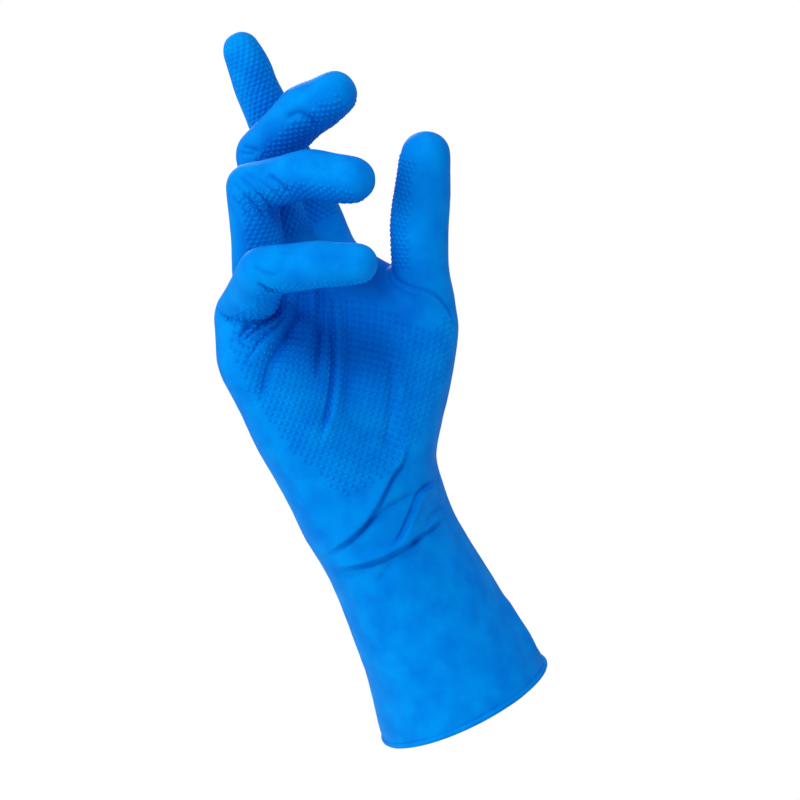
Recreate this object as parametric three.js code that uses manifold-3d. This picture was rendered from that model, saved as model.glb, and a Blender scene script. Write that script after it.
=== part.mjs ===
// A thin nitrile examination glove for the right hand, in the shape that it has when it is worn:
// forearm and palm leaning to the left, index finger straight, the other three fingers curled over
// the palm and the thumb upright. The film is one dipped skin, hollow from the cuff to the fingertips.
// Millimetres and degrees. X points right and Y away from a viewer who faces the palm; Z is up.
// The origin is the centre of the cuff's opening, where the forearm goes in.

import * as THREE from 'three';
import { ConvexGeometry } from 'three/addons/geometries/ConvexGeometry.js';
import { mergeVertices } from 'three/addons/utils/BufferGeometryUtils.js';
import Module from 'manifold-3d';

const wasm = await Module();
wasm.setup();

// Film
const WALL = 1;
const BEAD_RISE = 1;
const BEAD_WIDTH = 3.6;
const FOLD_RISE = 1.6;
const FOLD_WIDTH = 4.5;

// Cuff, wrist and palm
const ARM_LENGTH = 87;
const PALM_LENGTH = 98;
const CUFF_BREADTH = 72;
const CUFF_DEPTH = 67;
const WRIST_BREADTH = 67;
const WRIST_DEPTH = 50;
const PALM_BREADTH = 84;
const PALM_DEPTH = 40;

// Digits
const FINGER_LENGTH = 80;
const FINGER_RADIUS = 9;
const THUMB_RADIUS = 11;
const CREASE_GAP = 0.6;
const SHAFT_WAIST = 0.4;

// Pose
const ARM_LEAN_ANGLE = 25;
const ARM_TILT_ANGLE = 12;
const HAND_LEAN_ANGLE = 25;
const PALM_TURN_ANGLE = 52;
const WRIST_SWEEP = 30;

// Mesh fineness; joints that bend further than FAN_ANGLE get a fan of rings
const TRUNK_SIDES = 46;
const TRUNK_STEP = 7;
const WRIST_STEP = 3;
const BEAD_RINGS = 6;
const DIGIT_SIDES = 12;
const FAN_ANGLE = 30;
const FAN_RINGS = 5;
const TIP_RINGS = 3;
const BALL_SIDES = 16;
const MERGE_GAP = 1e-4;

// Sections of the cuff, wrist and palm. `along` is a share of ARM_LENGTH from the opening to the
// wrist, and of PALM_LENGTH beyond it. `breadth`, and the depths on the palm's and the back's side,
// are shares of the breadth and depth named by `size`. `shift` moves a section towards the thumb,
// as a share of its breadth. `round` is 1 for an oval and less for a boxier outline. `tilt` is the
// slope by which the section's thumb side lies further along.
const SECTIONS = [
  { size: 'cuff', along: 0.00, breadth: 1.00, palm: 1.00, back: 1.00, shift: 0.00, round: 1.00, tilt: 0.00 },
  { size: 'cuff', along: 0.29, breadth: 0.91, palm: 0.88, back: 0.87, shift: 0.01, round: 1.00, tilt: 0.00 },
  { size: 'cuff', along: 0.58, breadth: 0.86, palm: 0.78, back: 0.77, shift: 0.01, round: 1.00, tilt: 0.00 },
  { size: 'cuff', along: 0.79, breadth: 0.86, palm: 0.72, back: 0.72, shift: 0.00, round: 1.00, tilt: 0.00 },
  { size: 'wrist', along: 0.00, breadth: 1.00, palm: 1.00, back: 1.00, shift: 0.00, round: 1.00, tilt: 0.00 },
  { size: 'palm', along: 0.20, breadth: 0.84, palm: 1.15, back: 1.15, shift: 0.00, round: 0.96, tilt: 0.04 },
  { size: 'palm', along: 0.40, breadth: 0.90, palm: 1.10, back: 1.10, shift: -0.01, round: 0.92, tilt: 0.12 },
  { size: 'palm', along: 0.58, breadth: 0.95, palm: 1.00, back: 0.98, shift: 0.00, round: 0.88, tilt: 0.20 },
  { size: 'palm', along: 0.80, breadth: 1.02, palm: 0.82, back: 0.92, shift: 0.01, round: 0.86, tilt: 0.26 },
  { size: 'palm', along: 0.91, breadth: 0.99, palm: 0.66, back: 0.76, shift: 0.05, round: 0.86, tilt: 0.26 },
  { size: 'palm', along: 1.00, breadth: 0.66, palm: 0.40, back: 0.45, shift: 0.08, round: 0.90, tilt: 0.26 },
];
const SIZES = {
  cuff: { start: 0, length: ARM_LENGTH, breadth: CUFF_BREADTH, depth: CUFF_DEPTH },
  wrist: { start: ARM_LENGTH, length: PALM_LENGTH, breadth: WRIST_BREADTH, depth: WRIST_DEPTH },
  palm: { start: ARM_LENGTH, length: PALM_LENGTH, breadth: PALM_BREADTH, depth: PALM_DEPTH },
};

// Folds of the film over the palm and wrist. Each runs through three points, given as a share of the
// whole length from the opening and as degrees round from the palm's middle towards the little
// finger. `rise` is a share of FOLD_RISE, below zero for a dent, and `width` a share of FOLD_WIDTH.
const FOLDS = [
  { name: 'wrist overlap', points: [[0.42, -20], [0.41, 45], [0.41, 115]], rise: 0.6, width: 0.8 },
  { name: 'wrist groove', points: [[0.38, -20], [0.38, 45], [0.38, 115]], rise: -0.5, width: 0.7 },
  { name: 'heel ridge', points: [[0.54, 0], [0.47, 48], [0.43, 100]], rise: 0.8, width: 0.9 },
  { name: 'heel dent', points: [[0.49, 8], [0.45, 35], [0.44, 60]], rise: -0.7, width: 0.7 },
  { name: 'cuff dent', points: [[0.34, 75], [0.36, 45], [0.32, 12]], rise: -0.5, width: 0.9 },
  { name: 'palm dent', points: [[0.91, 8], [0.86, 32], [0.80, 72]], rise: -0.9, width: 1.1 },
  { name: 'palm ridge', points: [[0.83, 0], [0.73, 24], [0.63, 52]], rise: 0.8, width: 1.2 },
  { name: 'rim bulge', points: [[0.04, -60], [0.04, -40], [0.04, -20]], rise: 0.8, width: 1.4 },
];

// Fingers. The root joint lies `along` the palm, `across` and `out` of it as shares of PALM_LENGTH,
// PALM_BREADTH and PALM_DEPTH. `bones` are shares of FINGER_LENGTH, to the centre of the fingertip.
// `flex` bends each joint towards the palm, `spread` swings the finger towards the thumb and `turn`
// twists the plane that it bends in. `radii`, at each joint and the tip, are shares of FINGER_RADIUS.
const FINGERS = [
  { name: 'index', along: 0.98, across: 0.46, out: 0.05, bones: [0.52, 0.30, 0.19], flex: [3, 2, 2],
    spread: -3, turn: 0, radii: [1.30, 1.08, 0.99, 0.88] },
  { name: 'middle', along: 0.96, across: 0.19, out: 0.00, bones: [0.54, 0.33, 0.19], flex: [10, 64, 14],
    spread: 2, turn: 8, radii: [1.24, 1.08, 1.16, 1.00] },
  { name: 'ring', along: 0.91, across: -0.04, out: -0.05, bones: [0.50, 0.36, 0.22], flex: [23, 79, 20],
    spread: -1, turn: 4, radii: [1.24, 1.02, 1.03, 0.98] },
  { name: 'little', along: 0.84, across: -0.26, out: -0.05, bones: [0.40, 0.27, 0.19], flex: [60, 57, 12],
    spread: -46, turn: 2, radii: [1.22, 1.02, 0.98, 0.86] },
];

// Thumb, a row for each section from the wrist to the fingertip, placed as the fingers' roots are;
// `radius` is a share of THUMB_RADIUS.
const THUMB = [
  { along: 0.02, across: 0.20, out: 0.05, radius: 1.10 },
  { along: 0.18, across: 0.27, out: 0.30, radius: 1.15 },
  { along: 0.36, across: 0.34, out: 0.60, radius: 1.20 },
  { along: 0.54, across: 0.40, out: 0.84, radius: 1.16 },
  { along: 0.70, across: 0.43, out: 0.98, radius: 1.00 },
  { along: 0.87, across: 0.45, out: 1.17, radius: 1.02 },
  { along: 1.00, across: 0.46, out: 1.38, radius: 0.98 },
  { along: 1.11, across: 0.47, out: 1.56, radius: 0.89 },
];

// Ball of the thumb and the web to the index finger: a skin stretched over balls, placed in the same
// way; `radius` is a share of THUMB_RADIUS.
const WEB = [
  { along: -0.04, across: -0.04, out: 0.20, radius: 1.20 },
  { along: 0.10, across: 0.16, out: 0.20, radius: 1.25 },
  { along: 0.52, across: 0.40, out: 0.84, radius: 1.18 },
  { along: 0.91, across: 0.42, out: 0.20, radius: 0.80 },
  { along: 0.28, across: 0.15, out: 0.55, radius: 1.20 },
  { along: 0.74, across: -0.05, out: 0.12, radius: 0.80 },
  { along: 0.36, across: -0.18, out: 0.20, radius: 1.00 },
];

const X = new THREE.Vector3(1, 0, 0);
const Y = new THREE.Vector3(0, 1, 0);
const Z = new THREE.Vector3(0, 0, 1);
const { clamp, lerp, degToRad: radians } = THREE.MathUtils;

// Unit vector that points up, leans to the left by `lean` and comes towards the viewer by `tilt`.
function upwards(lean, tilt) {
  return Z.clone().applyAxisAngle(X, radians(tilt)).applyAxisAngle(Y, -radians(lean));
}

const armAxis = upwards(ARM_LEAN_ANGLE, ARM_TILT_ANGLE);
const handAxis = upwards(HAND_LEAN_ANGLE, 0);
const wrist = armAxis.clone().multiplyScalar(ARM_LENGTH);

// The hand's own directions: `palmwards` leaves the palm, `thumbwards` points to the thumb's side.
const palmwards = Y.clone().negate().applyAxisAngle(handAxis, radians(PALM_TURN_ANGLE));
const thumbwards = handAxis.clone().cross(palmwards);

// Point of the hand at a row's shares along, across and out of the palm, from the wrist's centre.
function handPoint({ along, across, out }) {
  return wrist.clone()
    .addScaledVector(handAxis, along * PALM_LENGTH)
    .addScaledVector(thumbwards, across * PALM_BREADTH)
    .addScaledVector(palmwards, out * PALM_DEPTH);
}

// Closed mesh through rings of points, each turning counter-clockwise about the way the rings go.
function loft(rings, lastPoint) {
  const sides = rings[0].length;
  const points = rings.flat();
  const middle = (ring) => ring.reduce((sum, p) => sum.add(p), new THREE.Vector3()).divideScalar(sides);
  const first = points.push(middle(rings[0])) - 1;
  const last = points.push(lastPoint ?? middle(rings.at(-1))) - 1;
  const index = [];
  const end = (rings.length - 1) * sides;
  for (let i = 0; i < sides; i++) {
    const j = (i + 1) % sides;
    index.push(first, i, j);
    for (let r = 0; r < end; r += sides) {
      index.push(r + i, r + sides + j, r + j, r + i, r + sides + i, r + sides + j);
    }
    index.push(end + j, end + i, last);
  }
  return new THREE.BufferGeometry().setFromPoints(points).setIndex(index);
}

function solid(geometry) {
  const merged = mergeVertices(geometry.deleteAttribute('normal'), MERGE_GAP);
  return new wasm.Manifold(new wasm.Mesh({
    numProp: 3,
    vertProperties: merged.attributes.position.array,
    triVerts: new Uint32Array(merged.index.array),
  }));
}

function geometryOf(body) {
  const mesh = body.getMesh();
  const geometry = new THREE.BufferGeometry();
  geometry.setAttribute('position', new THREE.BufferAttribute(mesh.vertProperties, mesh.numProp));
  geometry.setIndex(new THREE.BufferAttribute(mesh.triVerts, 1));
  return geometry;
}

// Smooth curve through the sections' values of one column.
const stations = SECTIONS.map((row) => {
  const { start, length, breadth, depth } = SIZES[row.size];
  return {
    s: start + row.along * length,
    breadth: row.breadth * breadth / 2,
    palm: row.palm * depth / 2,
    back: row.back * depth / 2,
    shift: row.shift * breadth,
    round: row.round,
    tilt: row.tilt,
  };
});
const trunkLength = stations.at(-1).s;
function column(name, s) {
  const last = stations.length - 1;
  let i = 0;
  while (i < last - 1 && s > stations[i + 1].s) i++;
  const t = clamp((s - stations[i].s) / (stations[i + 1].s - stations[i].s), 0, 1);
  const [a, b, c, d] = [i - 1, i, i + 1, i + 2].map((k) => stations[clamp(k, 0, last)][name]);
  return b + t * ((c - a) + t * ((2 * a - 5 * b + 4 * c - d) + t * (3 * b - a - 3 * c + d))) / 2;
}

// Height of the folds over the smooth film at a distance from the opening and an angle.
function foldHeight(s, angle) {
  const reach = (column('breadth', s) + column('palm', s)) / 2;
  const here = new THREE.Vector3(s, angle * reach, 0);
  const place = ([along, degrees]) => new THREE.Vector3(along * trunkLength, radians(degrees) * reach, 0);
  return FOLDS.reduce((sum, { points, rise, width }) => {
    const [a, b, c] = points.map(place);
    const gaps = [new THREE.Line3(a, b), new THREE.Line3(b, c)].map((line) =>
      line.closestPointToPoint(here, true, new THREE.Vector3()).distanceTo(here));
    return sum + rise * FOLD_RISE * Math.exp(-((Math.min(...gaps) / (width * FOLD_WIDTH)) ** 2));
  }, 0);
}

function trunkRing(s, inset) {
  const t = clamp((s - ARM_LENGTH) / (2 * WRIST_SWEEP) + 0.5, 0, 1);
  const axis = armAxis.clone().lerp(handAxis, t * t * (3 - 2 * t)).normalize();
  const turned = Math.max(s - ARM_LENGTH - WRIST_SWEEP, 0) + 2 * WRIST_SWEEP * t ** 3 * (1 - t / 2);
  const centre = armAxis.clone().multiplyScalar(s - turned).addScaledVector(handAxis, turned);
  const across = thumbwards.clone().addScaledVector(axis, -thumbwards.dot(axis)).normalize();
  const out = across.clone().cross(axis);
  const [shift, round, tilt] = ['shift', 'round', 'tilt'].map((name) => column(name, s));
  const ring = [];
  for (let k = 0; k < TRUNK_SIDES; k++) {
    const angle = Math.PI * (2 * k / TRUNK_SIDES - 1);
    const [sin, cos] = [-Math.sin(angle), Math.cos(angle)];
    const swell = foldHeight(s, angle) - inset;
    const breadth = column('breadth', s) + swell;
    const depth = column(cos > 0 ? 'palm' : 'back', s) + swell;
    const u = shift + breadth * Math.sign(sin) * Math.abs(sin) ** round;
    const v = depth * Math.sign(cos) * Math.abs(cos) ** round;
    ring.push(centre.clone()
      .addScaledVector(across, u)
      .addScaledVector(out, v)
      .addScaledVector(axis, u * tilt));
  }
  return ring;
}

// The outer skin starts with the rolled bead, and the inner one just outside the opening.
function trunk(inset) {
  const length = trunkLength - inset;
  const rings = [];
  for (let i = 0; i < BEAD_RINGS && inset === 0; i++) {
    const angle = Math.PI * i / BEAD_RINGS;
    rings.push(trunkRing(BEAD_WIDTH * (1 - Math.cos(angle)) / 2, -BEAD_RISE * Math.sin(angle)));
  }
  for (let s = inset > 0 ? -inset : BEAD_WIDTH; s < length;) {
    rings.push(trunkRing(s, inset));
    s += Math.abs(s - ARM_LENGTH) < WRIST_SWEEP ? WRIST_STEP : TRUNK_STEP;
  }
  rings.push(trunkRing(length, inset));
  return loft(rings);
}

// Joints of a finger, from its root to its fingertip, and the direction of its hinges.
function skeleton(row) {
  const straight = handAxis.clone().applyAxisAngle(palmwards, -radians(row.spread));
  const bendTo = palmwards.clone().applyAxisAngle(straight, radians(row.turn));
  const hinge = straight.clone().cross(bendTo).normalize();
  const joints = [handPoint(row)];
  const bones = [];
  let flexed = 0;
  row.bones.forEach((share, i) => {
    flexed += row.flex[i];
    bones.push(straight.clone().applyAxisAngle(hinge, radians(flexed)));
    joints.push(joints[i].clone().addScaledVector(bones[i], share * FINGER_LENGTH));
  });
  return { joints, bones, hinge };
}

// Oval ring whose depth runs from `near` to `far` of an origin, along a direction.
function oval(origin, direction, near, far, side, sideways) {
  const depth = (far - near) / 2;
  const middle = origin.clone().addScaledVector(direction, near + depth);
  const ring = [];
  for (let k = 0; k < DIGIT_SIDES; k++) {
    const angle = 2 * Math.PI * k / DIGIT_SIDES;
    ring.push(middle.clone()
      .addScaledVector(sideways, side * Math.sin(angle))
      .addScaledVector(direction, depth * Math.cos(angle)));
  }
  return ring;
}

// Rings of a round fingertip about a centre.
function tipRings(centre, bone, sideways, radius) {
  const away = bone.clone().cross(sideways);
  const rings = [];
  for (let k = 0; k < TIP_RINGS; k++) {
    const angle = Math.PI / 2 * k / TIP_RINGS;
    const middle = centre.clone().addScaledVector(bone, radius * Math.sin(angle));
    const r = radius * Math.cos(angle);
    rings.push(oval(middle, away, -r, r, r, sideways));
  }
  return rings;
}

function finger(row, inset) {
  const { joints, bones, hinge } = skeleton(row);
  const radii = row.radii.map((share) => share * FINGER_RADIUS);
  const rings = [];
  const straightRing = (centre, bone, radius) => {
    const r = radius - inset;
    rings.push(oval(centre, bone.clone().cross(hinge), -r, r, r, hinge));
  };
  for (let k = 1; k <= TIP_RINGS; k++) {
    const angle = Math.PI / 2 * k / TIP_RINGS;
    straightRing(joints[0].clone().addScaledVector(bones[0], -radii[0] * Math.cos(angle)), bones[0],
      radii[0] * Math.sin(angle));
  }
  for (let i = 1; i < bones.length; i++) {
    const r = radii[i];
    const shaft = joints[i - 1].clone().lerp(joints[i], 0.5);
    straightRing(shaft, bones[i - 1], (radii[i - 1] + r) / 2 - SHAFT_WAIST);
    const half = radians(row.flex[i]) / 2;
    const reach = (r + CREASE_GAP) / Math.cos(half);
    const inner = bones[i].clone().sub(bones[i - 1]).normalize();
    const pivot = joints[i].clone().addScaledVector(inner, reach);
    const touch = Math.atan2(r * Math.sin(half), reach + r * Math.cos(half));
    const count = row.flex[i] > FAN_ANGLE ? FAN_RINGS : 1;
    for (let k = 0; k < count; k++) {
      const phi = count > 1 ? lerp(-half, half, k / (count - 1)) : 0;
      const direction = inner.clone().negate().applyAxisAngle(hinge, phi);
      const far = Math.abs(phi) < touch
        ? reach * Math.cos(phi) + Math.sqrt(r * r - (reach * Math.sin(phi)) ** 2)
        : (2 * r + CREASE_GAP) / Math.cos(half - Math.abs(phi));
      rings.push(oval(pivot, direction, CREASE_GAP + inset, far - inset, r - inset, hinge));
    }
  }
  const tip = joints.at(-1);
  const bone = bones.at(-1);
  straightRing(joints.at(-2).clone().lerp(tip, 0.5), bone, (radii.at(-2) + radii.at(-1)) / 2);
  rings.push(...tipRings(tip, bone, hinge, radii.at(-1) - inset));
  return loft(rings, tip.clone().addScaledVector(bone, radii.at(-1) - inset));
}

function thumb(inset) {
  const centres = THUMB.map(handPoint);
  const rings = THUMB.slice(0, -1).map((row, i) => {
    const axis = centres[i + 1].clone().sub(centres[Math.max(i - 1, 0)]).normalize();
    const sideways = thumbwards.clone().addScaledVector(axis, -thumbwards.dot(axis)).normalize();
    const r = row.radius * THUMB_RADIUS - inset;
    return oval(centres[i], axis.clone().cross(sideways), -r, r, r, sideways);
  });
  const bone = centres.at(-1).clone().sub(centres.at(-2)).normalize();
  const sideways = thumbwards.clone().addScaledVector(bone, -thumbwards.dot(bone)).normalize();
  const r = THUMB.at(-1).radius * THUMB_RADIUS - inset;
  rings.push(...tipRings(centres.at(-1), bone, sideways, r));
  return loft(rings, centres.at(-1).addScaledVector(bone, r));
}

function web(inset) {
  const skin = WEB.flatMap((row) => {
    const radius = row.radius * THUMB_RADIUS - inset;
    const ball = new THREE.SphereGeometry(radius, BALL_SIDES, BALL_SIDES / 2).attributes.position;
    const centre = handPoint(row);
    return Array.from({ length: ball.count }, (_, i) => centre.clone().add(
      new THREE.Vector3().fromBufferAttribute(ball, i)));
  });
  return solid(new ConvexGeometry(skin));
}

function body(inset) {
  const parts = [trunk(inset), thumb(inset), ...FINGERS.map((row) => finger(row, inset))];
  return parts.reduce((sum, part) => sum.add(solid(part)), web(inset));
}

const film = new THREE.Mesh(
  geometryOf(body(0).subtract(body(WALL))),
  new THREE.MeshStandardMaterial({ color: 0x0a7be6, roughness: 0.5, metalness: 0 }),
);
film.name = 'glove_film';

const glove = new THREE.Group();
glove.add(film);
export default glove;
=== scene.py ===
"""A thin blue nitrile exam glove in its worn shape: one dipped film with a rolled rim, folds over the palm
and wrist, and a raised grip pattern on the palm's side.

Millimetres and degrees until a mesh is written; X points right, Y away from a viewer who faces the palm
and Z up. The origin is the centre of the cuff's opening.
"""

import math

import bmesh
import bpy
import numpy as np
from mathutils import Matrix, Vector, noise
from mathutils.bvhtree import BVHTree


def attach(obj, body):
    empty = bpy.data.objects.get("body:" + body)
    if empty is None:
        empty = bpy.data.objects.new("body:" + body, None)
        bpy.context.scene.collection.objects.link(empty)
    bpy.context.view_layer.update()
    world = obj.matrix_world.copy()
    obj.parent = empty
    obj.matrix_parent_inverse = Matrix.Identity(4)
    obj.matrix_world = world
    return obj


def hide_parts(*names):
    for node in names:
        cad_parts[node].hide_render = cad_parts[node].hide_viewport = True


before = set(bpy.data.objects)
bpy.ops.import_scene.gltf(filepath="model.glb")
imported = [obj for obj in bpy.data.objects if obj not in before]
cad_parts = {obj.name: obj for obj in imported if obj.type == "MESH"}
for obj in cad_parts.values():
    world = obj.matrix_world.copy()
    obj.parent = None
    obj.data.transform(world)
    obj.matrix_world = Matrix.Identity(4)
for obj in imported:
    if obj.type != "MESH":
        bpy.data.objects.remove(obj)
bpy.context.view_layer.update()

METRES = 0.001

# Film
WALL = 1.0
BEAD_RADIUS = 1.2
BEAD_LIFT = -0.1
BEAD_PLACE = 1.0
SKIN_STEP = 1.1
FINE_STEP = 0.6
OUTER_TRIANGLES = 150000
INNER_TRIANGLES = 24000
RELAX_WEIGHT = 0.5
MELT_ROUNDS = 18
PALM_ROUNDS = 50
FINE_ROUNDS = 4
SWELL_SPAN = 16
SWELL_HEIGHT = 0.45
RIPPLE_SPAN = 5
RIPPLE_HEIGHT = 0.10
RIPPLE_SHIFT = (7, 3, 1)

# Cuff, wrist and palm
ARM_LENGTH = 87
PALM_LENGTH = 98
CUFF_BREADTH = 72
CUFF_DEPTH = 67
WRIST_BREADTH = 67
WRIST_DEPTH = 50
PALM_BREADTH = 84
PALM_DEPTH = 40
TRUNK_STEP = 2
TRUNK_TURN = 3
TRUNK_OVERHANG = 6

# Digits
FINGER_LENGTH = 80
FINGER_RADIUS = 9
THUMB_RADIUS = 11
THUMB_START = 0.06
THUMB_TANGENT = 0.05
TIP_RADIUS = 0.05
PAD_RISE = 1.0
SHAFT_WAIST = 0.3
SIDE_WAIST = 0.3

# Pose
ARM_LEAN = 25
ARM_TILT = 12
HAND_LEAN = 25
PALM_TURN = 52
WRIST_SWEEP = 30

# Folds: the step along their lines and the fewest points of one, how many widths a fold reaches, the share
# of a line over which its ends fade, the width up to which a fold has a sharp crest, and the flanks and
# foot of an edged fold as shares of its width and rise.
FOLD_STEP = 0.7
FOLD_POINTS = 4
FOLD_REACH = 4
FOLD_TAPER = 0.22
SHARP_WIDTH = 3
SHARP_POWER = 1.4
EDGE_POWER = 1.5
STEEP_FLANK = 0.35
LONG_FLANK = 1.8
FOOT_PLACE = 0.8
FOOT_WIDTH = 0.5
FOOT_REACH = 3
FOOT_DEPTH = 0.6

# Where forms are melted together: from this far along the arm, fading over the next stretch, and clear of
# the digits, whose own skin starts at a share of the first bone or at a row of the thumb.
MELT_START = 40
MELT_FADE = 40
ROOT_SHARE = 0.35
FINGER_CLEARANCE = 0.5
FINGER_FADE = 6
THUMB_CLEARANCE = 13
THUMB_FADE = 8
THUMB_LINE = (4, 5, 6, 7)

# Grip pattern: soft domes in staggered rows
DOT_RADIUS = 1.05
DOT_RISE = 0.4
DOT_SINK = 0.04
PALM_DOT_RISE = 0.55
FINGER_PITCH = 2.45
FINGER_ROW = 1.75
FINGER_START = 0.25
TIP_REACH = 0.55
FINGER_TURN = 2.0
FINGER_SLACK = 1.35
THUMB_REACH = 68
THUMB_GRIP = (4.2, 7)
THUMB_STEP = 0.01
THUMB_SLACK = 1.4
PALM_PITCH = 3.6
PALM_ROW = 1.8
PALM_END = 4
PALM_TURN_STEP = 1.5
PALM_RAY = 75
SMALLEST_STEP = 1e-6

# Film's look: satin gloss, clouds of colour, a fine grain, and the deep blue of its painted shade
ROUGHNESS = 0.55
SPECULAR = 0.04
SPECULAR_TINT = (0.1, 0.5, 1.0, 1.0)
CLOUD_SCALE = 110
CLOUD_SPAN = (0.3, 0.72)
GRAIN_SCALE = 1400
NOISE_DETAIL = 4
GRAIN_STRENGTH = 0.12
GRAIN_DEPTH = 0.1
CLOUD_DARK = (0.0, 0.212, 0.7, 1)
CLOUD_LIGHT = (0.0, 0.305, 0.8, 1)
# Deep blue that the painted shade mixes the film's colour towards.
PAINTED_SHADE_BLUE = (0.0, 0.08, 0.49, 1)

# Painted shade, which darkens the film's colour towards its deep blue: round the middle of the palm's hollow,
# fading over some distances, and in crevices found by ambient occlusion, with the share of the plain colour
# that is left there.
PALM_SHADE_CENTRE = (-45, -30, 143)
PALM_SHADE_START = 12
PALM_SHADE_END = 44
HOLLOW_PAINTED_SHADE = 0.4
CREVICE_REACH = 30
CREVICE_SAMPLES = 8
CREVICE_START = 0.4
CREVICE_PAINTED_SHADE = 0.15

# Camera, at the photograph's viewing angle; FOCAL is in units of the frame's width.
CAMERA_PLACE = (-24.9, -1600, 115.1)
FOCAL = 5.244
SENSOR = 36
CLIP_END = 20

# Studio, in metres: a round floor that ends before the camera's view starts, and a surround that lights
# the glove with the cool AMBIENT and shows as the white SURROUND.
FLOOR_HEIGHT = -0.16
FLOOR_RADIUS = 1.1
FLOOR_SIDES = 96
PAPER = (0.9, 0.9, 0.9, 1)
AMBIENT = (0.36, 0.4, 0.55, 1)
SURROUND = (1, 1, 1, 1)
LAMP_AIM = (-0.03, 0, 0.12)
LAMPS = (
    # name, place, breadth, watts
    ("key", (-0.3, -1.3, 1.4), 0.5, 11),
    ("front left", (-1.2, -1.5, 0.3), 0.6, 4.8),
    ("side", (-1.5, -0.6, 0.4), 0.6, 6),
    ("top", (-0.5, -0.4, 1.7), 0.6, 2.5),
    ("back", (-0.5, 1.6, 1.0), 0.6, 9),
)

# Sockets of a colour mix: its two colours and its result.
MIX_FIRST, MIX_SECOND = 6, 7
MIX_RESULT = 2

# Sections of the cuff, wrist and palm: the named size that a row goes by, its share of ARM_LENGTH or
# PALM_LENGTH along, its breadth and its depths on the palm's and the back's side as shares of that size,
# its offset to the thumb's side, 1 for an oval outline or less for a boxier one, and its slant.
SECTIONS = (
    ("cuff", 0.00, 1.00, 1.00, 1.00, 0.00, 1.00, 0.00),
    ("cuff", 0.29, 0.91, 0.88, 0.87, 0.01, 1.00, 0.00),
    ("cuff", 0.58, 0.86, 0.78, 0.77, 0.01, 1.00, 0.00),
    ("cuff", 0.79, 0.86, 0.72, 0.72, 0.00, 1.00, 0.00),
    ("wrist", 0.00, 1.00, 1.00, 1.00, 0.00, 1.00, 0.00),
    ("palm", 0.20, 0.84, 1.15, 1.15, 0.00, 0.96, 0.04),
    ("palm", 0.40, 0.90, 1.10, 1.10, -0.01, 0.92, 0.12),
    ("palm", 0.58, 0.95, 1.00, 0.98, 0.00, 0.88, 0.20),
    ("palm", 0.80, 1.02, 0.82, 0.92, 0.01, 0.86, 0.26),
    ("palm", 0.91, 0.99, 0.66, 0.76, 0.05, 0.86, 0.26),
    ("palm", 1.00, 0.66, 0.40, 0.45, 0.08, 0.90, 0.26),
)
SIZES = {
    "cuff": (0, ARM_LENGTH, CUFF_BREADTH, CUFF_DEPTH),
    "wrist": (ARM_LENGTH, PALM_LENGTH, WRIST_BREADTH, WRIST_DEPTH),
    "palm": (ARM_LENGTH, PALM_LENGTH, PALM_BREADTH, PALM_DEPTH),
}

# Fingers: root along, across and out of the palm, bones as shares of FINGER_LENGTH, bend of each joint,
# swing towards the thumb, twist of the bending plane, and radii as shares of FINGER_RADIUS.
FINGERS = {
    "index": ((0.98, 0.46, 0.05), (0.52, 0.30, 0.19), (3, 2, 2), -3, 0, (1.30, 1.08, 0.99, 0.88)),
    "middle": ((0.96, 0.19, 0.00), (0.54, 0.33, 0.19), (10, 64, 14), 2, 8, (1.24, 1.08, 1.16, 1.00)),
    "ring": ((0.91, -0.04, -0.05), (0.50, 0.36, 0.22), (23, 79, 20), -1, 4, (1.24, 1.02, 1.03, 0.98)),
    "little": ((0.84, -0.26, -0.05), (0.40, 0.27, 0.19), (60, 57, 12), -46, 2, (1.22, 1.02, 0.98, 0.86)),
}

# Thumb, from the wrist to the fingertip: along, across, out, and radius as a share of THUMB_RADIUS.
THUMB = (
    (0.02, 0.20, 0.05, 1.10),
    (0.18, 0.27, 0.30, 1.15),
    (0.36, 0.34, 0.60, 1.20),
    (0.54, 0.40, 0.84, 1.16),
    (0.70, 0.43, 0.98, 1.00),
    (0.87, 0.45, 1.17, 1.02),
    (1.00, 0.46, 1.38, 0.98),
    (1.11, 0.47, 1.56, 0.89),
)

# Ball of the thumb and the web to the index finger: balls that the film is stretched over.
WEB = (
    (-0.04, -0.04, 0.20, 1.20),
    (0.10, 0.16, 0.20, 1.25),
    (0.52, 0.40, 0.84, 1.18),
    (0.91, 0.42, 0.20, 0.80),
    (0.28, 0.15, 0.55, 1.20),
    (0.74, -0.05, 0.12, 0.80),
    (0.36, -0.18, 0.20, 1.00),
)

# Grip pattern of each finger: the angle that its middle is turned by round the finger, and its reach in
# degrees to either side.
FINGER_GRIP = {
    "index": (-50, 62),
    "middle": (0, 76),
    "ring": (0, 78),
    "little": (10, 104),
}

# Palm's grip pattern: degrees from the palm's middle towards the little finger, and the distances from
# the opening at which it starts and ends.
PALM_GRIP = (
    (-24, 115, 130),
    (-12, 104, 144),
    (-7, 102, 168),
    (0, 98, 181),
    (30, 94, 181),
    (52, 94, 181),
    (64, 100, 181),
    (77, 118, 181),
    (86, 147, 181),
)

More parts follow.
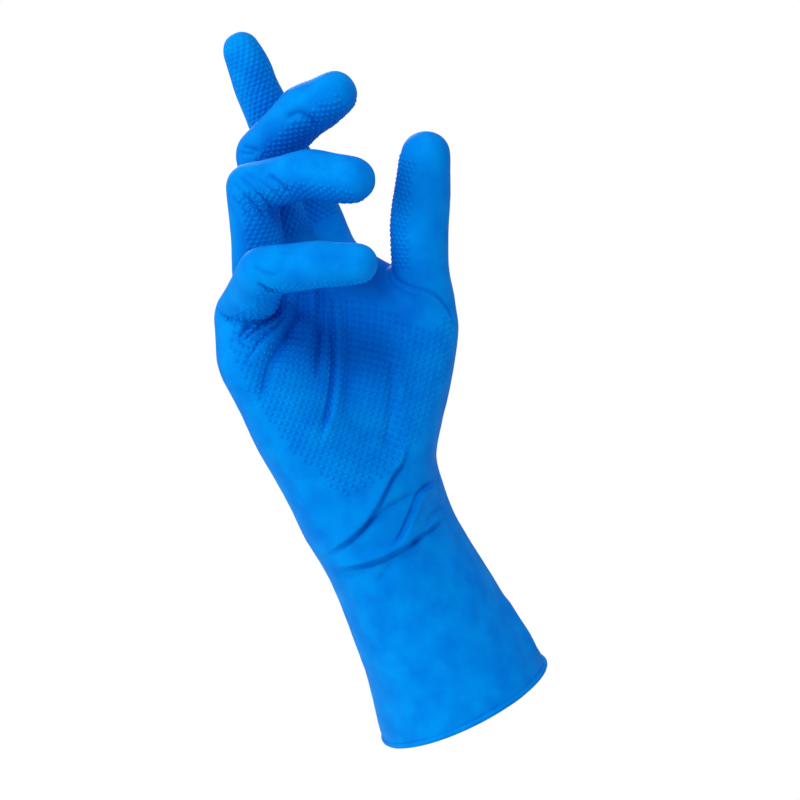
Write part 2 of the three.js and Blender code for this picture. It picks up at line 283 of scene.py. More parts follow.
# Folds over the palm, wrist and cuff, each a curve through points given as the X and Z at which they are
# seen from the front. `rise` is the height, below zero for a dent, and `width` the half width. `edge`
# makes the flank on the left (-1) or the right (1) of the way that the points go the steep one, with a
# dent along its foot.
PALM_FOLDS = (
    # name, points, rise, width, edge
    ("wrist overlap", ((-52, 52), (-44.5, 52.5), (-34.5, 55), (-27, 58.5), (-12, 68.5), (-4, 78)),
     1.5, 2.0, 1),
    ("cuff dent, left", ((-50, 49), (-44.5, 48.5), (-36, 50)), -0.6, 1.6, 0),
    ("cuff dent, right", ((-37, 43), (-31.5, 48), (-27, 54), (-19.5, 56.5), (-12, 55.5), (-4, 52)),
     -1.0, 2.0, 0),
    ("long ridge, upper", ((-25, 128), (-24, 113), (-22.5, 103.5), (-24, 94.5), (-28, 87.5)), 0.6, 2.2, 0),
    ("long ridge, lower", ((-22.5, 100), (-24, 93.5), (-28, 87), (-31.5, 80), (-37, 70), (-43, 64),
                           (-54, 56)), 1.5, 1.8, -1),
    ("heel dent", ((-17, 81), (-25.5, 76), (-35.5, 69.5), (-42, 63)), -1.7, 1.8, 0),
    ("heel band", ((-9, 84), (-16, 80), (-19.5, 72.5), (-24, 63), (-28, 58)), 1.6, 1.6, 1),
    ("heel dent, low", ((-4, 76), (-11, 73), (-16, 66), (-21, 60)), -1.2, 1.5, 0),
    ("palm dent, left", ((-60, 165), (-61.5, 157), (-62, 150), (-65.5, 144), (-69, 137), (-73.5, 128.5),
                         (-78, 113)), -2.4, 2.2, 0),
    ("palm swell, left", ((-66, 156), (-69, 147), (-73.5, 139), (-78, 130)), 1.0, 2.6, 0),
    ("palm dent, middle", ((-53.5, 166), (-54.5, 157), (-54.5, 150.5), (-55, 142.5), (-55, 136), (-56, 122)),
     -2.4, 1.9, 0),
    ("palm ridge, small", ((-58, 163), (-58, 153), (-59, 143), (-61, 131)), 0.9, 1.4, 0),
    ("palm ridge", ((-49.5, 158), (-49.5, 146), (-49, 136), (-49, 121.5), (-51, 108.5), (-55, 97)),
     1.7, 2.0, 1),
    ("palm dent, right", ((-45, 158), (-44.5, 140), (-44.5, 122), (-46, 108)), -0.8, 2.4, 0),
    ("thumb dent", ((-28.5, 131), (-28, 117), (-28.5, 106.5), (-30.5, 94)), -1.2, 2.2, 0),
    ("thumb crease", ((-29, 165), (-21, 158.5), (-15, 154.5), (-9.5, 150.5), (-6, 146.5), (-2, 139)),
     1.0, 1.2, -1),
    ("little finger crease", ((-63, 160), (-67, 156), (-74.5, 149), (-80, 145), (-87, 138)), -1.9, 1.1, 0),
    ("little finger fold", ((-70, 149), (-77, 142.5), (-84, 137)), 1.3, 1.0, 1),
    ("little finger fold, low", ((-67, 148), (-73, 141), (-79, 134), (-83, 127)), 0.9, 1.2, 1),
    ("knuckle crease", ((-92, 150), (-86, 146), (-81, 145)), -1.2, 0.9, 0),
    ("rim bulge", ((13, 42), (18, 34), (23, 26), (27, 18)), 1.6, 4.5, 0),
)

# Small wrinkles of the fingers, given in the same way.
FINGER_FOLDS = (
    ("ring wrinkle, outer", ((-89, 198.5), (-84, 193), (-79, 188), (-75, 182)), -0.8, 0.8, 0),
    ("ring wrinkle, middle", ((-87.5, 201.5), (-81, 195), (-75, 189.5), (-71.5, 184)), -0.9, 0.8, 0),
    ("ring wrinkle, inner", ((-85, 203), (-79, 198.5), (-73, 193.5), (-68, 190)), -0.7, 0.8, 0),
    ("ring wrinkle, low", ((-89.5, 193), (-84, 187), (-79, 181.5)), -0.6, 0.9, 0),
    ("ring crease", ((-75, 200.5), (-71, 197), (-66, 193)), -1.4, 1.0, 0),
    ("ring dent", ((-58, 206), (-53, 202.5), (-49, 199.5)), -0.6, 1.6, 0),
    ("middle wrinkle, low", ((-87.4, 209.3), (-83.6, 208.2), (-79.5, 207.8)), -1.1, 0.7, 0),
    ("middle wrinkle, high", ((-87, 212.5), (-83, 210.4), (-78, 208.8)), -1.2, 0.8, 0),
    ("middle crease", ((-68.5, 220.5), (-63.8, 223), (-59.2, 221.5), (-56, 217)), -1.2, 1.3, 0),
    ("little wrinkle", ((-79, 159.5), (-73.5, 156), (-68, 155.5)), -1.3, 0.8, 0),
    ("little wrinkle, upper", ((-80, 166), (-76, 163), (-71, 162)), -0.8, 0.7, 0),
)

# Folds on the sides that the front doesn't show: distance from the opening and degrees of each point.
BACK_FOLDS = (
    ("wrist overlap, back", ((76, 152), (76, 175), (78, 205), (79, 235), (80, 265)), 1.2, 2.0, 1),
    ("wrist dent, back", ((68, 152), (66, 175), (70, 205), (68, 250)), -0.8, 2.0, 0),
    ("hand dent, little side", ((88, 140), (100, 150), (116, 156)), -0.6, 2.4, 0),
    ("hand ridge, thumb side", ((90, 232), (102, 222), (118, 214)), 1.0, 2.6, 0),
    ("hand dent, thumb side", ((88, 215), (100, 206), (112, 200)), -0.7, 2.2, 0),
    ("tendon dent, upper", ((150, 172), (164, 176), (178, 178)), -0.6, 2.6, 0),
    ("tendon dent, lower", ((150, 205), (164, 204), (176, 203)), -0.5, 2.6, 0),
)


def turned(vector, axis, degrees):
    """A vector turned about a unit axis."""
    angle = math.radians(degrees)
    return (vector * math.cos(angle) + np.cross(axis, vector) * math.sin(angle)
            + axis * np.dot(axis, vector) * (1 - math.cos(angle)))


def unit(vector):
    return vector / np.linalg.norm(vector)


X_AXIS, Y_AXIS, Z_AXIS = np.eye(3)
arm_axis = turned(turned(Z_AXIS, X_AXIS, ARM_TILT), Y_AXIS, -ARM_LEAN)
hand_axis = turned(Z_AXIS, Y_AXIS, -HAND_LEAN)
wrist = arm_axis * ARM_LENGTH
palmwards = turned(-Y_AXIS, hand_axis, PALM_TURN)
thumbwards = np.cross(hand_axis, palmwards)


def hand_point(along, across, out):
    """A point of the hand from its shares along, across and out of the palm."""
    return (wrist + hand_axis * along * PALM_LENGTH + thumbwards * across * PALM_BREADTH
            + palmwards * out * PALM_DEPTH)


def smooth(t):
    t = np.clip(t, 0, 1)
    return t * t * (3 - 2 * t)


def spline(values, places, at):
    """Smooth curve through rows of values at rising places."""
    values = np.asarray(values, float)
    i = int(np.clip(np.searchsorted(places, at, side="right") - 1, 0, len(places) - 2))
    t = (at - places[i]) / (places[i + 1] - places[i])
    a, b, c, d = (values[min(max(k, 0), len(values) - 1)] for k in (i - 1, i, i + 1, i + 2))
    return b + t * ((c - a) + t * ((2 * a - 5 * b + 4 * c - d) + t * (3 * b - a - 3 * c + d))) / 2


def station(row):
    size, along, breadth, palm, back, across, square, slant = row
    start, length, full_breadth, full_depth = SIZES[size]
    return (start + along * length, (breadth * full_breadth / 2, palm * full_depth / 2, back * full_depth / 2,
                                     across * full_breadth, square, slant))


trunk_places = [station(row)[0] for row in SECTIONS]
trunk_values = [station(row)[1] for row in SECTIONS]
trunk_length = trunk_places[-1]


def trunk_frame(s):
    """Centre, axis, and the directions across and out, at a distance from the opening."""
    t = float(np.clip((s - ARM_LENGTH) / (2 * WRIST_SWEEP) + 0.5, 0, 1))
    axis = unit(arm_axis + (hand_axis - arm_axis) * smooth(t))
    in_hand = max(s - ARM_LENGTH - WRIST_SWEEP, 0) + 2 * WRIST_SWEEP * t ** 3 * (1 - t / 2)
    centre = arm_axis * (s - in_hand) + hand_axis * in_hand
    across = unit(thumbwards - axis * np.dot(thumbwards, axis))
    return centre, axis, across, np.cross(across, axis)


def trunk_point(s, degrees, lift=0.0):
    """A point of the cuff, wrist or palm, at an angle from the palm's middle to the little finger's side."""
    centre, axis, across, out = trunk_frame(s)
    breadth, palm, back, offset, square, slant = spline(trunk_values, trunk_places, max(s, 0))
    sin, cos = -math.sin(math.radians(degrees)), math.cos(math.radians(degrees))
    u = offset + (breadth + lift) * math.copysign(abs(sin) ** square, sin)
    v = ((palm if cos > 0 else back) + lift) * math.copysign(abs(cos) ** square, cos)
    return centre + across * u + out * v + axis * u * slant


def loft(rings):
    """Points and faces of a closed form through rings, each turning the same way."""
    sides = len(rings[0])
    points = [p for ring in rings for p in ring] + [np.mean(rings[0], axis=0), np.mean(rings[-1], axis=0)]
    first, last, end = len(points) - 2, len(points) - 1, (len(rings) - 1) * sides
    faces = []
    for i in range(sides):
        j = (i + 1) % sides
        faces += [(r + i, r + j, r + sides + j, r + sides + i) for r in range(0, end, sides)]
        faces += [(first, j, i), (last, end + i, end + j)]
    return points, faces


def bone_form(a, b, radius_a, radius_b, inwards, sides=40, steps=18, cap_steps=7):
    """A finger's bone with round ends, fuller on the side of the pads and waisted on the back."""
    axis = unit(b - a)
    inwards = unit(inwards - axis * np.dot(inwards, axis))
    side = np.cross(axis, inwards)
    length = np.linalg.norm(b - a)
    profile = []
    for k in range(cap_steps):
        angle = math.pi / 2 * (1 - k / cap_steps)
        profile.append((-radius_a * math.sin(angle), radius_a * math.cos(angle), 0.0))
    for k in range(steps + 1):
        t = k / steps
        profile.append((t * length, radius_a + (radius_b - radius_a) * t, math.sin(math.pi * t)))
    for k in range(1, cap_steps + 1):
        angle = math.pi / 2 * k / cap_steps
        profile.append((length + radius_b * math.sin(angle), radius_b * math.cos(angle), 0.0))
    rings = []
    for along, radius, swell in profile:
        ring = []
        for k in range(sides):
            angle = 2 * math.pi * k / sides
            cos = math.cos(angle)
            r = radius + swell * (PAD_RISE * max(cos, 0) ** 2 - SHAFT_WAIST * max(-cos, SIDE_WAIST))
            ring.append(a + axis * along + inwards * r * cos + side * r * math.sin(angle))
        rings.append(ring)
    return loft(rings)


def finger_joints(row):
    """Joints of a finger, its bones' directions and the direction of its hinges."""
    root, shares, flex, spread, turn, radii = row
    straight = turned(hand_axis, palmwards, -spread)
    hinge = unit(np.cross(straight, turned(palmwards, straight, turn)))
    joints, bones, bend = [hand_point(*root)], [], 0
    for share, degrees in zip(shares, flex):
        bend += degrees
        bones.append(turned(straight, hinge, bend))
        joints.append(joints[-1] + bones[-1] * share * FINGER_LENGTH)
    return joints, bones, hinge, [share * FINGER_RADIUS for share in radii]


def thumb_frame(at):
    """Centre, axis and radius of the thumb at a place along its rows."""
    places = range(len(THUMB))
    row = spline(THUMB, places, at)
    ahead, behind = (hand_point(*spline(THUMB, places, at + step)[:3])
                     for step in (THUMB_TANGENT, -THUMB_TANGENT))
    return hand_point(*row[:3]), unit(ahead - behind), row[3] * THUMB_RADIUS


def thumb_form(sides=44, steps=60, cap_steps=9):
    rings = []
    last = len(THUMB) - 1
    for k in range(steps + 1):
        centre, axis, radius = thumb_frame(THUMB_START + (last - THUMB_START) * k / steps)
        side = unit(thumbwards - axis * np.dot(thumbwards, axis))
        other = np.cross(axis, side)
        ring = [2 * math.pi * n / sides for n in range(sides)]
        rings.append([centre + (side * math.cos(a) + other * math.sin(a)) * radius for a in ring])
    for k in range(1, cap_steps + 1):
        angle = math.pi / 2 * k / cap_steps
        centre_k = centre + axis * radius * math.sin(angle)
        r = max(radius * math.cos(angle), TIP_RADIUS)
        rings.append([centre_k + (side * math.cos(a) + other * math.sin(a)) * r for a in ring])
    return loft(rings)


def web_form():
    """The stretched skin over the web's balls."""
    shape = bmesh.new()
    for along, across, out, share in WEB:
        ball = bmesh.ops.create_icosphere(shape, subdivisions=3, radius=share * THUMB_RADIUS)
        bmesh.ops.translate(shape, verts=ball["verts"], vec=Vector(hand_point(along, across, out)))
    hull = bmesh.ops.convex_hull(shape, input=shape.verts)
    inside = [item for item in hull["geom_interior"] if isinstance(item, bmesh.types.BMVert)]
    bmesh.ops.delete(shape, geom=inside, context="VERTS")
    shape.verts.index_update()
    points = [np.array(v.co) for v in shape.verts]
    faces = [tuple(v.index for v in f.verts) for f in shape.faces]
    shape.free()
    return points, faces


def mesh_of(points, faces, name):
    mesh = bpy.data.meshes.new(name)
    mesh.from_pydata([tuple(p) for p in points], [], faces)
    mesh.validate()
    return mesh


def joined(forms):
    """Points and faces of several forms as one."""
    points, faces = [], []
    for form_points, form_faces in forms:
        start = len(points)
        points += list(form_points)
        faces += [tuple(start + i for i in face) for face in form_faces]
    return points, faces


def remeshed(forms, step):
    """One closed skin round all the forms, in steps of the given size."""
    solid = bpy.data.objects.new("forms", mesh_of(*joined(forms), "forms"))
    bpy.context.scene.collection.objects.link(solid)
    tool = solid.modifiers.new("skin", "REMESH")
    tool.mode = "VOXEL"
    tool.voxel_size = step
    result = bpy.data.meshes.new_from_object(solid.evaluated_get(bpy.context.evaluated_depsgraph_get()))
    bpy.data.objects.remove(solid)
    return result


def arrays(mesh):
    """Points, edges and point normals of a mesh as arrays."""
    points = np.empty(len(mesh.vertices) * 3)
    mesh.vertices.foreach_get("co", points)
    edges = np.empty(len(mesh.edges) * 2, dtype=int)
    mesh.edges.foreach_get("vertices", edges)
    normals = np.empty(len(mesh.vertices) * 3)
    mesh.vertices.foreach_get("normal", normals)
    return points.reshape(-1, 3), edges.reshape(-1, 2), normals.reshape(-1, 3)


def relax(points, edges, rounds, weight):
    """Each point moves towards the middle of its neighbours by its weight, for some rounds."""
    count = len(points)
    ends = np.concatenate([edges[:, 0], edges[:, 1]])
    others = np.concatenate([edges[:, 1], edges[:, 0]])
    share = np.bincount(ends, minlength=count)[:, None]
    for _ in range(rounds):
        total = np.stack([np.bincount(ends, points[others, k], count) for k in range(3)], axis=1)
        points = points + (total / share - points) * weight[:, None]
    return points


def distance_to_segment(points, a, b):
    t = np.clip((points - a) @ (b - a) / np.dot(b - a, b - a), 0, 1)
    return np.linalg.norm(points - a - t[:, None] * (b - a), axis=1)


def curve_points(corners, gap):
    """A smooth curve through some corners, as points about `gap` apart."""
    corners = np.asarray(corners, float)
    steps = np.concatenate([[0], np.cumsum(np.linalg.norm(np.diff(corners, axis=0), axis=1))])
    count = max(int(steps[-1] / gap), FOLD_POINTS)
    return np.array([spline(corners, steps, s) for s in np.linspace(0, steps[-1], count)])


def seen_from_front(tree, x, z):
    """Where the line from the camera through a point of the wrist's plane meets a surface."""
    start = Vector(CAMERA_PLACE)
    through = Vector((x, wrist[1], z))
    return tree.ray_cast(start, (through - start).normalized())[0]


def fold_line(film, aim, corners):
    """Points and normals of the film under a curve; `aim` turns two coordinates into a place near it."""
    places = [aim(*pair) for pair in curve_points(corners, FOLD_STEP)]
    nearest = [film.find_nearest(place) for place in places if place is not None]
    line, out = (np.array([pair[k] for pair in nearest]) for k in (0, 1))
    return line, out


def fold_height(points, line, out, rise, width, edge):
    """Height of one fold at each point of the film."""
    height = np.zeros(len(points))
    reach = FOLD_REACH * width
    near = np.where(np.all((points > line.min(0) - reach) & (points < line.max(0) + reach), axis=1))[0]
    gaps = np.linalg.norm(points[near][:, None] - line[None], axis=2)
    closest = gaps.argmin(axis=1)
    distance = gaps.min(axis=1)
    sideways = np.cross(np.gradient(line, axis=0), out)
    sideways /= np.linalg.norm(sideways, axis=1)[:, None]
    side = np.einsum("ij,ij->i", points[near] - line[closest], sideways[closest])
    along = closest / (len(line) - 1)
    taper = smooth(along / FOLD_TAPER) * smooth((1 - along) / FOLD_TAPER)
    shape = np.exp(-((distance / width) ** (SHARP_POWER if width < SHARP_WIDTH else 2)))
    if edge:
        flank = np.where(side * edge > 0, STEEP_FLANK * width, LONG_FLANK * width)
        beside = (side * edge - FOOT_PLACE * width) / (FOOT_WIDTH * width)
        foot = np.exp(-(beside ** 2) - (distance / (FOOT_REACH * width)) ** 2)
        shape = np.exp(-((distance / flank) ** EDGE_POWER)) - FOOT_DEPTH * foot
    height[near] = rise * taper * shape
    return height


def tree_of(points, faces):
    return BVHTree.FromPolygons([tuple(p) for p in points], faces)


def film_mesh():
    """The film's outer skin as a mesh that is open at the cuff, and a search tree of it without its folds."""
    stations = np.append(np.arange(-TRUNK_OVERHANG, trunk_length, TRUNK_STEP), trunk_length)
    rings = [[trunk_point(s, a) for a in np.arange(0, 360, TRUNK_TURN)] for s in stations]
    forms = [loft(rings), web_form()]
    palm = tree_of(*joined(forms))
    for row in FINGERS.values():
        joints, bones, hinge, radii = finger_joints(row)
        for i, bone in enumerate(bones):
            forms.append(bone_form(joints[i], joints[i + 1], radii[i], radii[i + 1], np.cross(hinge, bone)))
    forms.append(thumb_form())
    melted = remeshed(forms, SKIN_STEP)
    points, edges, _ = arrays(melted)
    points = relax(points, edges, MELT_ROUNDS, np.full(len(points), RELAX_WEIGHT))
    points = relax(points, edges, PALM_ROUNDS, RELAX_WEIGHT * palm_share(points))
    mesh = remeshed([(points, [tuple(face.vertices) for face in melted.polygons])], FINE_STEP)
    points, edges, _ = arrays(mesh)
    points = relax(points, edges, FINE_ROUNDS, np.full(len(points), RELAX_WEIGHT))
    mesh.vertices.foreach_set("co", points.ravel())
    mesh.update()

    faces = [tuple(face.vertices) for face in mesh.polygons]
    film = tree_of(points, faces)
    _, _, normals = arrays(mesh)
    height = film_unevenness(points)
    for aim, folds in (
        (lambda x, z: seen_from_front(palm, x, z), PALM_FOLDS),
        (lambda x, z: seen_from_front(film, x, z), FINGER_FOLDS),
        (lambda s, degrees: Vector(trunk_point(s, degrees)), BACK_FOLDS),
    ):
        for _, corners, rise, width, edge in folds:
            line, out = fold_line(film, aim, corners)
            height += fold_height(points, line, out, rise, width, edge)
    points = points + normals * height[:, None]
    mesh.vertices.foreach_set("co", points.ravel())
    mesh.update()
    shape = bmesh.new()
    shape.from_mesh(mesh)
    bmesh.ops.bisect_plane(shape, geom=shape.verts[:] + shape.edges[:] + shape.faces[:], plane_co=(0, 0, 0),
                           plane_no=Vector(arm_axis), clear_inner=True)
    shape.to_mesh(mesh)
    shape.free()
    return mesh, film


def palm_share(points):
    """1 on the palm and back, where forms are melted together, down to 0 on the digits and the cuff."""
    share = smooth((points @ arm_axis - MELT_START) / MELT_FADE)
    for row in FINGERS.values():
        joints, _, _, radii = finger_joints(row)
        starts = [joints[0] + (joints[1] - joints[0]) * ROOT_SHARE] + joints[1:-1]
        for start, end, radius in zip(starts, joints[1:], radii):
            gap = distance_to_segment(points, start, end) - radius - FINGER_CLEARANCE
            share = np.minimum(share, smooth(gap / FINGER_FADE))
    line = [thumb_frame(place)[0] for place in THUMB_LINE]
    for start, end in zip(line, line[1:]):
        gap = distance_to_segment(points, start, end) - THUMB_CLEARANCE
        share = np.minimum(share, smooth(gap / THUMB_FADE))
    return share


def film_unevenness(points):
    """Low swells and ripples of the thin film."""
    swells = np.array([noise.noise(Vector(p) / SWELL_SPAN) for p in points])
    ripples = np.array([noise.noise(Vector(p) / RIPPLE_SPAN + Vector(RIPPLE_SHIFT)) for p in points])
    return SWELL_HEIGHT * swells + RIPPLE_HEIGHT * ripples


def thinned(mesh, triangles):
    """A mesh with its flatter faces melted together until about so many triangles are left."""
    shape = bpy.data.objects.new("thinned", mesh.copy())
    bpy.context.scene.collection.objects.link(shape)
    tool = shape.modifiers.new("thinned", "DECIMATE")
    tool.ratio = triangles / (2 * len(mesh.polygons))
    result = bpy.data.meshes.new_from_object(shape.evaluated_get(bpy.context.evaluated_depsgraph_get()))
    bpy.data.objects.remove(shape)
    return result


def with_inner_skin(mesh):
    """The outer skin with a plainer inner skin one wall inside it."""
    outer, inner = thinned(mesh, OUTER_TRIANGLES), thinned(mesh, INNER_TRIANGLES)
    outer_points, _, _ = arrays(outer)
    inner_points, _, normals = arrays(inner)
    start = len(outer_points)
    faces = [tuple(f.vertices) for f in outer.polygons]
    faces += [tuple(start + i for i in reversed(f.vertices)) for f in inner.polygons]
    return list(outer_points) + list(inner_points - normals * WALL), faces


def bead_form(sides=14, turns=180):
    """The rolled rim, a cord of film round the opening."""
    points, faces = [], []
    for k in range(turns):
        degrees = 360 * k / turns
        centre = trunk_point(BEAD_PLACE, degrees, BEAD_LIFT - BEAD_RADIUS * 0.5)
        outwards = unit(trunk_point(BEAD_PLACE, degrees, 1) - trunk_point(BEAD_PLACE, degrees))
        for n in range(sides):
            angle = 2 * math.pi * n / sides
            points.append(centre + (outwards * math.cos(angle) + arm_axis * math.sin(angle)) * BEAD_RADIUS)
    for k in range(turns):
        for n in range(sides):
            m = (n + 1) % sides
            a, b = k * sides, (k + 1) % turns * sides
            faces.append((a + n, a + m, b + m, b + n))
    return points, faces


def dots_form(places, rise):
    """Soft domes at places and normals, as one mesh."""
    rings, sides = 4, 10
    points, faces = [], []
    for place, normal in places:
        u = unit(np.cross(normal, hand_axis if abs(np.dot(normal, hand_axis)) < 0.9 else X_AXIS))
        v = np.cross(normal, u)
        start = len(points)
        for k in range(rings):
            share = 1 - k / rings
            lift = rise * (1 - share ** 2) ** 2 - DOT_SINK * (k == 0)
            for n in range(sides):
                angle = 2 * math.pi * (n + 0.5 * k) / sides
                outwards = u * math.cos(angle) + v * math.sin(angle)
                points.append(place + outwards * DOT_RADIUS * share + normal * lift)
        points.append(place + normal * rise)
        for k in range(rings - 1):
            for n in range(sides):
                m = (n + 1) % sides
                a, b = start + k * sides, start + (k + 1) * sides
                faces += [(a + n, a + m, b + n), (a + m, b + m, b + n)]
        top = start + rings * sides
        faces += [(top - sides + n, top - sides + (n + 1) % sides, top) for n in range(sides)]
    return points, faces


def fan(centre, axis, inwards, middle, reach, limit):
    """Rays in a fan about an axis, each with its angle from `inwards` and the furthest that it may go."""
    inwards = unit(inwards - axis * np.dot(inwards, axis))
    side = np.cross(axis, inwards)
    turns = np.arange(middle - reach, middle + reach, FINGER_TURN)
    angles = [(degrees, math.radians(degrees)) for degrees in turns]
    return [(degrees, centre, inwards * math.cos(a) + side * math.sin(a), limit) for degrees, a in angles]


def grip_places(plain, folded, rows, pitch):
    """Places of the domes on the folded skin, a pitch apart along each row of rays on the plain one."""
    places = []
    for number, rays in enumerate(rows):
        walk, last, hits = 0.0, None, []
        for degrees, centre, ray, limit in rays:
            hit, _, _, gap = plain.ray_cast(Vector(centre), Vector(ray))
            if hit is None or gap > limit:
                last = None
                continue
            if last is not None:
                walk += min((hit - last).length, 2 * pitch)
            last = hit
            hits.append((walk, degrees, hit))
        if len(hits) < 2:
            continue
        walks = np.array([hit[0] for hit in hits])
        middle = walks[np.abs([hit[1] for hit in hits]).argmin()] + pitch * 0.5 * (number % 2)
        lowest, highest = math.ceil((walks[0] - middle) / pitch), math.floor((walks[-1] - middle) / pitch)
        for step in range(lowest, highest + 1):
            walk = middle + step * pitch
            k = int(np.clip(np.searchsorted(walks, walk), 1, len(walks) - 1))
            (before, _, a), (after, _, b) = hits[k - 1], hits[k]
            if (b - a).length < pitch:
                share = (walk - before) / max(after - before, SMALLEST_STEP)
                place, normal, _, _ = folded.find_nearest(a.lerp(b, share))
                places.append((np.array(place), np.array(normal)))
    return places


def finger_rows(row, middle, reach):
    """Rays of a finger's grip pattern, row by row from the root to the tip."""
    joints, bones, hinge, radii = finger_joints(row)
    rows = []
    for i, bone in enumerate(bones):
        length = np.linalg.norm(joints[i + 1] - joints[i])
        first = FINGER_START * length if i == 0 else 0
        last = length + (TIP_REACH * radii[i + 1] if i == len(bones) - 1 else 0)
        for s in np.arange(first, last, FINGER_ROW):
            limit = (radii[i] + (radii[i + 1] - radii[i]) * s / length) * FINGER_SLACK
            rows.append(fan(joints[i] + bone * s, bone, np.cross(hinge, bone), middle, reach, limit))
    return rows


def thumb_rows():
    """Rays of the thumb's grip pattern, row by row."""
    rows = []
    centres = [thumb_frame(place) for place in np.arange(*THUMB_GRIP, THUMB_STEP)]
    walked = 0
    for (before, _, _), (centre, axis, radius) in zip(centres, centres[1:]):
        walked += np.linalg.norm(centre - before)
        if walked >= FINGER_ROW:
            walked -= FINGER_ROW
            rows.append(fan(centre, axis, -X_AXIS, 0, THUMB_REACH, radius * THUMB_SLACK))
    return rows


def palm_rows():
    """Rays of the palm's grip pattern, row by row from the wrist up."""
    degrees, starts, ends = zip(*PALM_GRIP)
    rows = []
    for s in np.arange(min(starts), trunk_length - PALM_END, PALM_ROW):
        centre = trunk_frame(s)[0]
        rays = []
        for angle in np.arange(degrees[0], degrees[-1], PALM_TURN_STEP):
            if np.interp(angle, degrees, starts) < s < np.interp(angle, degrees, ends):
                rays.append((angle, centre, unit(trunk_point(s, angle) - centre), PALM_RAY))
        rows.append(rays)
    return rows


def add_piece(name, points, faces, material):
    mesh = mesh_of([np.asarray(p) * METRES for p in points], faces, name)
    mesh.materials.append(material)
    mesh.polygons.foreach_set("use_smooth", [True] * len(mesh.polygons))
    piece = bpy.data.objects.new(name, mesh)
    bpy.context.scene.collection.objects.link(piece)
    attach(piece, "root")
    return piece


def nitrile():
    """Satin blue nitrile with faint clouds of colour and a fine grain; painted shade darkens its colour in
    crevices and round the middle of the palm's hollow.
    """
    material = bpy.data.materials.new("nitrile")
    material.use_nodes = True
    nodes, links = material.node_tree.nodes, material.node_tree.links
    shader = nodes["Principled BSDF"]
    shader.inputs["Roughness"].default_value = ROUGHNESS
    shader.inputs["Specular IOR Level"].default_value = SPECULAR
    shader.inputs["Specular Tint"].default_value = SPECULAR_TINT
    place = nodes.new("ShaderNodeTexCoord")
    clouds = nodes.new("ShaderNodeTexNoise")
    clouds.inputs["Scale"].default_value = CLOUD_SCALE
    clouds.inputs["Detail"].default_value = NOISE_DETAIL
    colours = nodes.new("ShaderNodeValToRGB")
    for stop, position, colour in zip(colours.color_ramp.elements, CLOUD_SPAN, (CLOUD_DARK, CLOUD_LIGHT)):
        stop.position = position
        stop.color = colour
    grain = nodes.new("ShaderNodeTexNoise")
    grain.inputs["Scale"].default_value = GRAIN_SCALE
    grain.inputs["Detail"].default_value = NOISE_DETAIL
    bump = nodes.new("ShaderNodeBump")
    bump.inputs["Strength"].default_value = GRAIN_STRENGTH
    bump.inputs["Distance"].default_value = GRAIN_DEPTH * METRES
    links.new(place.outputs["Object"], clouds.inputs["Vector"])
    links.new(place.outputs["Object"], grain.inputs["Vector"])
    links.new(clouds.outputs["Fac"], colours.inputs["Fac"])
    # Painted shade in crevices: ambient occlusion darkens the colour in folds, and under and between the
    # fingers.
    crevice_shade_mask = nodes.new("ShaderNodeAmbientOcclusion")
    crevice_shade_mask.samples = CREVICE_SAMPLES
    crevice_shade_mask.inputs["Distance"].default_value = CREVICE_REACH * METRES
    crevice_shade = nodes.new("ShaderNodeMapRange")
    crevice_shade.inputs["From Min"].default_value = CREVICE_START
    crevice_shade.inputs["To Min"].default_value = CREVICE_PAINTED_SHADE
    # Painted shade round the palm's hollow, by the distance from its middle.
    reach = nodes.new("ShaderNodeVectorMath")
    reach.operation = "DISTANCE"
    reach.inputs[1].default_value = Vector(PALM_SHADE_CENTRE) * METRES
    palm = nodes.new("ShaderNodeMapRange")
    palm.interpolation_type = "SMOOTHSTEP"
    palm.inputs["From Min"].default_value = PALM_SHADE_START * METRES
    palm.inputs["From Max"].default_value = PALM_SHADE_END * METRES
    palm.inputs["To Min"].default_value = HOLLOW_PAINTED_SHADE
    # Both painted shades together mix the cloud colour towards the deep blue.
    tone = nodes.new("ShaderNodeMath")
    tone.operation = "MULTIPLY"
    film = nodes.new("ShaderNodeMix")
    film.data_type = "RGBA"
    film.inputs[MIX_FIRST].default_value = PAINTED_SHADE_BLUE
    links.new(crevice_shade_mask.outputs["AO"], crevice_shade.inputs["Value"])
    links.new(place.outputs["Object"], reach.inputs[0])
    links.new(reach.outputs["Value"], palm.inputs["Value"])
    links.new(crevice_shade.outputs["Result"], tone.inputs[0])
    links.new(palm.outputs["Result"], tone.inputs[1])
    links.new(tone.outputs["Value"], film.inputs["Factor"])
    links.new(colours.outputs["Color"], film.inputs[MIX_SECOND])
    links.new(film.outputs[MIX_RESULT], shader.inputs["Base Color"])
    links.new(grain.outputs["Fac"], bump.inputs["Height"])
    links.new(bump.outputs["Normal"], shader.inputs["Normal"])
    return material


def camera():
    view = bpy.data.cameras.new("camera")
    view.sensor_width = SENSOR
    view.lens = FOCAL * SENSOR
    view.clip_end = CLIP_END
    holder = bpy.data.objects.new("camera", view)
    holder.location = Vector(CAMERA_PLACE) * METRES
    holder.rotation_euler = (math.pi / 2, 0, 0)
    bpy.context.scene.collection.objects.link(holder)
    bpy.context.scene.camera = holder


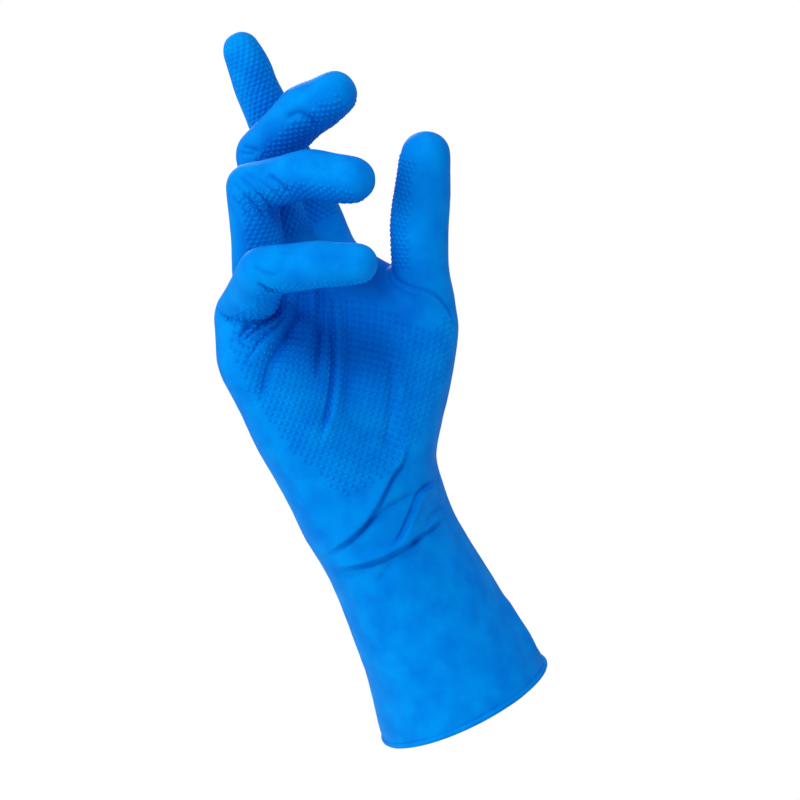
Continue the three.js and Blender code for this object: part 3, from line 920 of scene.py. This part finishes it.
def lamp(name, place, breadth, watts):
    light = bpy.data.lights.new(name, "AREA")
    light.shape = "DISK"
    light.size = breadth
    light.energy = watts
    holder = bpy.data.objects.new(name, light)
    holder.location = place
    holder.rotation_euler = (Vector(LAMP_AIM) - Vector(place)).to_track_quat("-Z", "Y").to_euler()
    bpy.context.scene.collection.objects.link(holder)


def studio():
    """A pale round floor, a white surround and soft light, the key from the front and above."""
    ring = [2 * math.pi * k / FLOOR_SIDES for k in range(FLOOR_SIDES)]
    points = [(FLOOR_RADIUS * math.cos(a), FLOOR_RADIUS * math.sin(a), FLOOR_HEIGHT) for a in ring]
    mesh = mesh_of(points, [tuple(range(FLOOR_SIDES))], "floor")
    paper = bpy.data.materials.new("paper")
    paper.use_nodes = True
    shader = paper.node_tree.nodes["Principled BSDF"]
    shader.inputs["Base Color"].default_value = PAPER
    shader.inputs["Roughness"].default_value = 0.9
    mesh.materials.append(paper)
    floor = bpy.data.objects.new("floor", mesh)
    bpy.context.scene.collection.objects.link(floor)

    world = bpy.data.worlds.new("studio")
    world.use_nodes = True
    nodes, links = world.node_tree.nodes, world.node_tree.links
    path = nodes.new("ShaderNodeLightPath")
    tone = nodes.new("ShaderNodeMix")
    tone.data_type = "RGBA"
    tone.inputs[MIX_FIRST].default_value = AMBIENT
    tone.inputs[MIX_SECOND].default_value = SURROUND
    links.new(path.outputs["Is Camera Ray"], tone.inputs["Factor"])
    links.new(tone.outputs[MIX_RESULT], nodes["Background"].inputs["Color"])
    bpy.context.scene.world = world
    for row in LAMPS:
        lamp(*row)
    bpy.context.scene.view_settings.view_transform = "Standard"


camera()
studio()
rubber = nitrile()

film, plain_tree = film_mesh()
film_points, _, _ = arrays(film)
film_tree = tree_of(film_points, [tuple(face.vertices) for face in film.polygons])
glove = add_piece("glove_skin", *joined([with_inner_skin(film), bead_form()]), rubber)
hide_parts("glove_film")

grips = {f"grip_{name}": finger_rows(row, *FINGER_GRIP[name]) for name, row in FINGERS.items()}
grips["grip_thumb"] = thumb_rows()
for name, rows in grips.items():
    add_piece(name, *dots_form(grip_places(plain_tree, film_tree, rows, FINGER_PITCH), DOT_RISE), rubber)
palm_places = grip_places(plain_tree, film_tree, palm_rows(), PALM_PITCH)
add_piece("grip_palm", *dots_form(palm_places, PALM_DOT_RISE), rubber)
